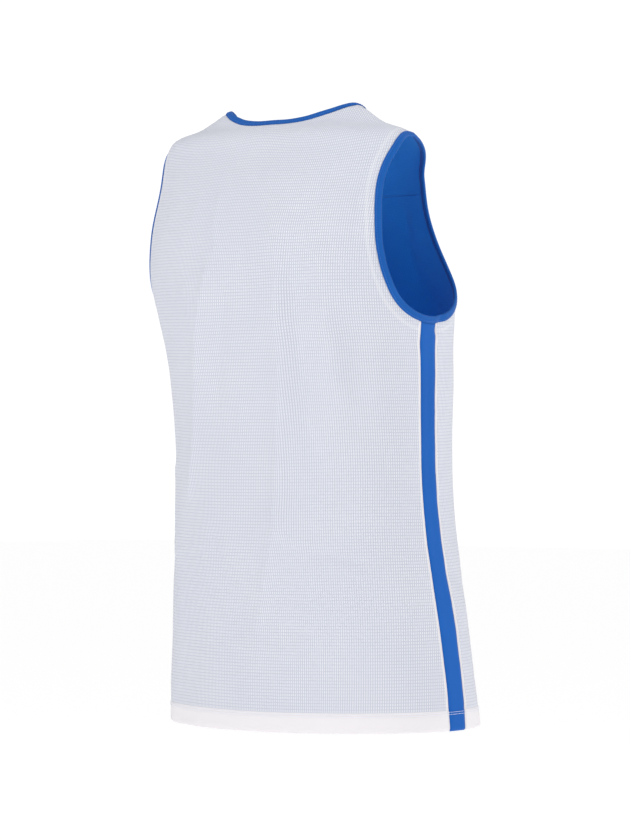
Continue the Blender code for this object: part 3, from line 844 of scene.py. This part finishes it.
def piece_of_knit(name, grids, lift, middle, material, replaces, outer=True):
    """A sewn piece: each grid of places laid on the cloth and given its thickness."""
    bm = bmesh.new()
    inner_face = bm.verts.layers.float_vector.new("inner_face")
    flat = bm.verts.layers.float_vector.new("flat_place")
    side_seam = bm.verts.layers.float.new("side_seam")
    armhole_seam = bm.verts.layers.float.new("armhole_seam")
    width = length = 0.0
    for places in grids:
        base, up, across = form(places), above_hem(places), ring_distance(places, middle)
        to_lines = [
            nearest(base, line) for line in (SIDE_LINES, ARM_LINES, NECK_LINES, SHOULDER_LINES)
        ]
        rise, thickness = rise_and_thickness(up, np.min(to_lines, axis=0), outer)
        outside = cloth(places, lift + rise)
        inside = cloth(places, lift + rise - thickness)
        for vertex, *at in grid_in(bm, places.shape[0] - 1, places.shape[1] - 1):
            at = tuple(at)
            vertex.co = outside[at]
            vertex[inner_face] = inside[at]
            vertex[flat] = (across[at], up[at], 0)
            vertex[side_seam] = to_lines[0][at]
            vertex[armhole_seam] = to_lines[1][at]
        width, length = max(width, np.ptp(across)), max(length, np.ptp(up))
    bmesh.ops.remove_doubles(bm, verts=bm.verts, dist=WELD)
    visible = sum(face.calc_area() for face in bm.faces)
    second = bmesh.ops.extrude_face_region(bm, geom=bm.faces, use_keep_orig=True)["geom"]
    for vertex in second:
        if isinstance(vertex, bmesh.types.BMVert):
            vertex.co = vertex[inner_face]
    bmesh.ops.recalc_face_normals(bm, faces=bm.faces)
    laid_flat(bm, flat)
    bm.verts.layers.float_vector.remove(bm.verts.layers.float_vector["inner_face"])
    made = finished(name, bm, material, replaces)
    print(f"{name}: {len(made.data.polygons)} faces, cut {width:.3f} x {length:.3f} m,"
          f" {visible:.3f} m2")
    return made, float(width), float(length), float(visible)


# %% [markdown]
# ## The two outer panels
# Front and back are the largest pieces, and the ones seen most.

# %% Outer panels
for name, panel in PANELS.items():
    piece_of_knit(
        name + "_outer", [panel.places()], 0.0, panel.turn * math.pi / 2, WHITE_KNIT,
        replaces=[name + "_panel"],
    )

# %% [markdown]
# ## The side stripes
# Each stripe is a narrow panel from the underarm to the hem, about two fingers wide.  Its top
# follows the armhole seam, so every column of its grid ends where it meets that seam.

# %% Side stripes
STRIPE_COLUMNS = 10
STRIPE_ROWS = 118
NEAR = 100  # stations either way of the underarm that hold the stripe's top


def arm_seam_at(stations):
    """Places on the armhole seam; stations below 0 are in front of the underarm."""
    return read(ARM_SEAM, np.asarray(stations) % UNDERARM)


UNDERARM_ANGLE, UNDERARM_RUN = arm_seam_at(np.arange(-NEAR, NEAR + 1)).T


def top_of_line(spread, gap):
    """Where a line at a share of the stripe's half width meets the armhole seam."""
    beside = UNDERARM_ANGLE - spread * stripe_edge(UNDERARM_RUN, gap)
    return arm_seam_at(crossing(beside) - NEAR)


def stripe_places():
    columns = []
    for spread in np.linspace(-1, 1, STRIPE_COLUMNS + 1):
        top = top_of_line(spread, -HALF_GAP)[1]
        runs = np.concatenate([HEM_ROWS, np.linspace(HEM_ROWS[-1] + CELL, top, STRIPE_ROWS)])
        columns.append(hem_hung(place_at(spread * stripe_edge(runs, -HALF_GAP), runs)))
    return np.stack(columns, axis=1)


STRIPE = stripe_places()
for side, places, middle in (
    ("left", STRIPE, 0.0), ("right", mirrored(STRIPE)[:, ::-1], math.pi),
):
    piece_of_knit(
        "stripe_" + side, [places], 0.0, middle, BLUE_TRIM,
        replaces=["side_stripe_" + side],
    )

# %% [markdown]
# ## The blue inner layer
# Inside lies a second front and back, joined at the side lines behind the stripes.  It hangs
# just short of the hem, 0.3 mm inside the outer layer, and takes the same folds, so the two
# never cross.

# %% Inner layer
LINING_ROWS = LINING_LIFT + MM * np.array((0, 2, 6, 10, 13.5, 15.5, 19))
LINING_CELL = 0.0052
STRIP_COLUMNS = 4


def lining_strip(places, turn, corner):
    """What reaches behind the stripe, from the panel's edge to the side line."""
    edge = places[: corner + 1, 0 if turn > 0 else -1]
    seam = place_at(turn * HALF_GAP / ring(edge[:, 1])[HALF_WIDTH], edge[:, 1])
    seam[-1] = top_of_line(0, 0)
    share = np.linspace(0, 1, STRIP_COLUMNS + 1)[None, :, None]
    strip = seam[:, None] * (1 - share) + edge[:, None] * share
    return strip if turn > 0 else strip[:, ::-1]


for name, panel in PANELS.items():
    places = panel.places(LINING_CELL, LINING_ROWS)
    strip = lining_strip(places, panel.turn, panel.underarm_row)
    piece_of_knit(
        name + "_inner", [places, strip, mirrored(strip)[:, ::-1]],
        -KNIT_THICKNESS - LAYER_GAP, panel.turn * math.pi / 2, BLUE_INNER, outer=False,
        replaces=[name + "_lining"],
    )

# %% [markdown]
# ## The bindings
# A binding is a strip folded over the raw edges of both layers: a grid that runs round the
# opening one way and round the fold the other, with Solidify for the strip's thickness.  Its
# ends are joined on a slant, near the underarm or the left shoulder, which leaves a groove.

# %% Bindings
# share of the width from the seam to the finished edge, lift above the cloth in mm
FOLDED_CUT = (1, MM) * np.array((
    (-0.16, 0.1), (-0.14, 0.6), (-0.05, 0.9), (0.15, 1.0), (0.40, 1.2), (0.65, 1.1),
    (0.84, 0.7), (0.95, 0.0), (1.00, -1.0), (0.96, -2.1), (0.85, -2.8), (0.60, -3.2),
    (0.30, -3.3), (0.00, -3.2), (-0.12, -3.0),
))
CROWN = 4  # the row that lies highest, facing outwards
STRIP_THICKNESS = 0.0006
JOIN_SLANT = 0.005
JOIN_WIDTH = 0.0009
JOIN_DEPTH = 0.0005
CLOSE_REACH = 0.012  # this far either way of the join, the columns are this close
CLOSE_STEP = 0.0004


def folded_binding(name, seam, edge, join_at, node):
    """A strip folded over a closed edge: seam and edge are matching lines of places."""
    bm = bmesh.new()
    flat = bm.verts.layers.float_vector.new("flat_place")
    run = along(form(seam))
    share, lift = FOLDED_CUT[None, :, :1], np.repeat(FOLDED_CUT[None, :, 1], len(seam), axis=0)
    over = np.concatenate([[0.0], np.cumsum(np.hypot(
        np.diff(FOLDED_CUT[:, 0]) * BINDING_WIDTH, np.diff(FOLDED_CUT[:, 1])
    ))])
    slant = run[:, None] - join_at - JOIN_SLANT * FOLDED_CUT[None, :, 0]
    lift = lift - JOIN_DEPTH * np.exp(-((slant / JOIN_WIDTH) ** 2)) * (FOLDED_CUT[:, 1] > 0)
    places = seam[:, None] + (edge - seam)[:, None] * share
    points = cloth(places, lift)
    columns, rows = len(seam) - 1, len(FOLDED_CUT) - 1
    for vertex, row, column in grid_in(bm, rows, columns):
        vertex.co = points[column, row]
        vertex[flat] = (run[column], over[row], 0)
    laid_flat(bm, flat)
    visible = sum(face.calc_area() for face in bm.faces)
    bmesh.ops.remove_doubles(bm, verts=bm.verts, dist=WELD)
    bmesh.ops.recalc_face_normals(bm, faces=bm.faces)
    crown = Vector(points[0, CROWN])
    first = min(bm.faces, key=lambda face: (face.calc_center_median() - crown).length)
    if first.normal.dot(Vector(outward(seam[:1])[0])) < 0:
        bmesh.ops.reverse_faces(bm, faces=bm.faces)
    made = finished(name, bm, BLUE_BAND_PAINTED_DARKER, [node])
    solidify = made.modifiers.new("strip thickness", "SOLIDIFY")
    solidify.thickness = STRIP_THICKNESS
    solidify.offset = -1
    print(f"{name}: {columns} columns, {run[-1]:.3f} m round, {visible:.4f} m2")
    return made, float(over[-1]), float(run[-1]), float(visible)


def stations_round(line, count, join_at):
    """Indices evenly along a line, with more of them close to where the strip is joined."""
    run = along(form(line))
    at = np.linspace(0, run[-1], count + 1)
    extra = np.arange(join_at - CLOSE_REACH, join_at + CLOSE_REACH, CLOSE_STEP)
    return np.interp(np.unique(np.concatenate([at, extra])), run, np.arange(len(line)))


def turned(line, start):
    """A closed line that starts from another of its points."""
    return np.concatenate([line[start:-1], line[: start + 1]])


ARM_START = UNDERARM // 2
JOIN_FROM_UNDERARM = 0.020
NECK_JOIN = 0.118
ARM_LINE, ARM_FINISH = turned(ARM_SEAM, ARM_START), turned(ARM_EDGE, ARM_START)
JOIN_RUN = float(along(form(ARM_LINE))[UNDERARM - ARM_START]) + JOIN_FROM_UNDERARM
ARM_ROUND = stations_round(ARM_LINE, 260, JOIN_RUN)
for side, flip in (("left", lambda line: line), ("right", mirrored)):
    folded_binding(
        "armhole_band_" + side, flip(read(ARM_LINE, ARM_ROUND)),
        flip(read(ARM_FINISH, ARM_ROUND)), JOIN_RUN, "armhole_binding_" + side,
    )
NECK_ROUND_SEAM = np.concatenate([NECK_SEAM, mirrored(NECK_SEAM)[-2::-1]])
NECK_ROUND_EDGE = np.concatenate([NECK_EDGE, mirrored(NECK_EDGE)[-2::-1]])
NECK_ROUND = stations_round(NECK_ROUND_SEAM, 280, NECK_JOIN)
folded_binding(
    "neck_band", read(NECK_ROUND_SEAM, NECK_ROUND), read(NECK_ROUND_EDGE, NECK_ROUND),
    NECK_JOIN, "neck_binding",
)

# %% [markdown]
# ## The sewing
# Two rows of stitches hold the turned hem, and one row holds each binding.  A row is one tube
# that comes up, lies on the cloth and goes down again at each stitch, and a grid wrapped round
# its line makes it with few faces.

# %% Stitching
STITCH_PITCH = 0.0029
STITCH_LIFTS = MM * np.array((-0.6, 0.1, 0.4, 0.5, 0.4, 0.1))
STITCH_POINTS = len(STITCH_LIFTS)
THREAD_RADIUS = 0.00028
THREAD_SIDES = 5
HEM_STITCH_HEIGHTS = (0.0200, 0.0226)
BAND_STITCH_SHARE = 0.16  # of the binding's width, from its seam
BAND_STITCH_LIFT = 0.0009


def stitch_row(bm, line, base_lift):
    """A closed row of stitches along a line of places."""
    run = along(cloth(line, base_lift))
    count = round(run[-1] / STITCH_PITCH)
    samples = count * STITCH_POINTS
    places = read(line, np.interp(np.linspace(0, run[-1], samples + 1), run,
                                  np.arange(len(line))))
    lifts = base_lift + STITCH_LIFTS[np.arange(samples + 1) % STITCH_POINTS]
    points, normals = cloth(places, lifts), outward(places)
    forward = np.gradient(points, axis=0)
    forward /= np.linalg.norm(forward, axis=-1, keepdims=True)
    beside = np.cross(forward, normals)
    for vertex, side, i in grid_in(bm, THREAD_SIDES, samples):
        turn = 2 * math.pi * side / THREAD_SIDES
        around = normals[i] * math.cos(turn) + beside[i] * math.sin(turn)
        vertex.co = points[i] + THREAD_RADIUS * around
    return count


def sewn(name, rows, material):
    bm = bmesh.new()
    count = sum(stitch_row(bm, line, lift) for line, lift in rows)
    bmesh.ops.remove_doubles(bm, verts=bm.verts, dist=WELD)
    bmesh.ops.recalc_face_normals(bm, faces=bm.faces)
    for face in bm.faces:
        face.smooth = True
    print(f"{name}: {count} stitches, {len(bm.faces)} faces")
    return finished(name, bm, material, [])


def hem_line(height):
    """A closed line round the hem, at a height above its edge."""
    angle = np.linspace(-math.pi / 2, 3 * math.pi / 2, 721)
    bottom = hem_hung(place_at(angle, 0.0))
    step = np.linalg.norm(slopes_of_form(bottom)[1], axis=-1)
    return bottom + place_at(0, height / step)


HEM_STITCHES = sewn(
    "hem_stitching", [(hem_line(height), HEM_EXTRA) for height in HEM_STITCH_HEIGHTS],
    THREAD,
)
BAND_STITCHES = sewn(
    "band_stitching",
    [(line + (edge - line) * BAND_STITCH_SHARE, BAND_STITCH_LIFT) for line, edge in (
        (ARM_LINE, ARM_FINISH), (mirrored(ARM_LINE), mirrored(ARM_FINISH)),
        (NECK_ROUND_SEAM, NECK_ROUND_EDGE),
    )],
    BLUE_THREAD,
)

# %% [markdown]
# ## What each piece was cut to
# Each knit sheet and binding printed its flat size, before it was sewn and worn, as it was made.

# %% [markdown]
# ## Floor and light
# The jersey hangs where a standing wearer would hold it, over a pale floor.  Five large soft
# lamps and a pale sky give the flat light of a studio.

# %% Floor and light
FLOOR_HEIGHT = -1.40
FLOOR_GLOW = 0.62
SKY_LIGHT, SKY_SEEN = 0.42, 1.05
LAMP_AIM = Vector((0, 0, -0.36))
LAMP_DISTANCE = 4.0
# name, azimuth, elevation, width, power
LAMPS = (
    ("key", 158, 30, 1.6, 46),
    ("fill", 252, 22, 2.5, 28),
    ("low", 226, 3, 2.5, 8),
    ("top", 205, 68, 2.5, 46),
    ("front", 318, 30, 2.5, 50),
)


def pale_floor():
    bpy.ops.mesh.primitive_plane_add(size=60, location=(0, 0, FLOOR_HEIGHT))
    floor = bpy.context.object
    floor.name = "floor"
    floor.data.materials.append(new_material(
        "pale floor", 0.9, Base_Color=(0.86, 0.86, 0.86, 1), Emission_Color=(1, 1, 1, 1),
        Emission_Strength=FLOOR_GLOW,
    )[0])


def pale_sky():
    """A white world: its light on the cloth, and how bright it looks behind."""
    world = bpy.context.scene.world or bpy.data.worlds.new("sky")
    bpy.context.scene.world = world
    world.use_nodes = True
    tree = world.node_tree
    background = tree.nodes["Background"]
    background.inputs["Color"].default_value = (1, 1, 1, 1)
    seen = tree.nodes.new("ShaderNodeLightPath").outputs["Is Camera Ray"]
    strength = ramp(tree, seen, 0.0, 1.0, SKY_LIGHT, SKY_SEEN)
    tree.links.new(strength, background.inputs["Strength"])


def aimed(made, aim, azimuth, elevation, distance):
    """Places a lamp or camera by its direction round the jersey, looking back at the aim."""
    a, e = math.radians(azimuth), math.radians(elevation)
    back = Vector((math.sin(a) * math.cos(e), -math.cos(a) * math.cos(e), math.sin(e)))
    made.location = aim + back * distance
    made.rotation_mode = "QUATERNION"
    made.rotation_quaternion = (-back).to_track_quat("-Z", "Y")


pale_floor()
pale_sky()
for name, azimuth, elevation, size, power in LAMPS:
    light = bpy.data.lights.new(name, "AREA")
    light.shape, light.size, light.energy = "SQUARE", size, power
    aimed(in_scene(name, light), LAMP_AIM, azimuth, elevation, LAMP_DISTANCE)
bpy.context.scene.view_settings.view_transform = "Standard"
print(len(LAMPS), "lamps, a floor and a sky")

# %% [markdown]
# ## The camera
# It stands behind, to the wearer's right, level with the waist.  A long lens from 5 m keeps the
# jersey nearly free of perspective, as in a shop's pictures.

# %% Camera
CAMERA_AZIMUTH = 222.0
CAMERA_ELEVATION = -0.447
CAMERA_DISTANCE = 5.0
CAMERA_AIM = Vector((0.001, -0.044, -0.3586))
LENS_MM = 175.9
SENSOR_MM = 36.0  # along the longer side of the picture

camera_data = bpy.data.cameras.new("camera")
camera_data.sensor_fit = "AUTO"
camera_data.sensor_width = SENSOR_MM
camera_data.lens = LENS_MM
camera = in_scene("camera", camera_data)
aimed(camera, CAMERA_AIM, CAMERA_AZIMUTH, CAMERA_ELEVATION, CAMERA_DISTANCE)
bpy.context.scene.camera = camera
print("camera at", [round(part, 3) for part in camera.location])
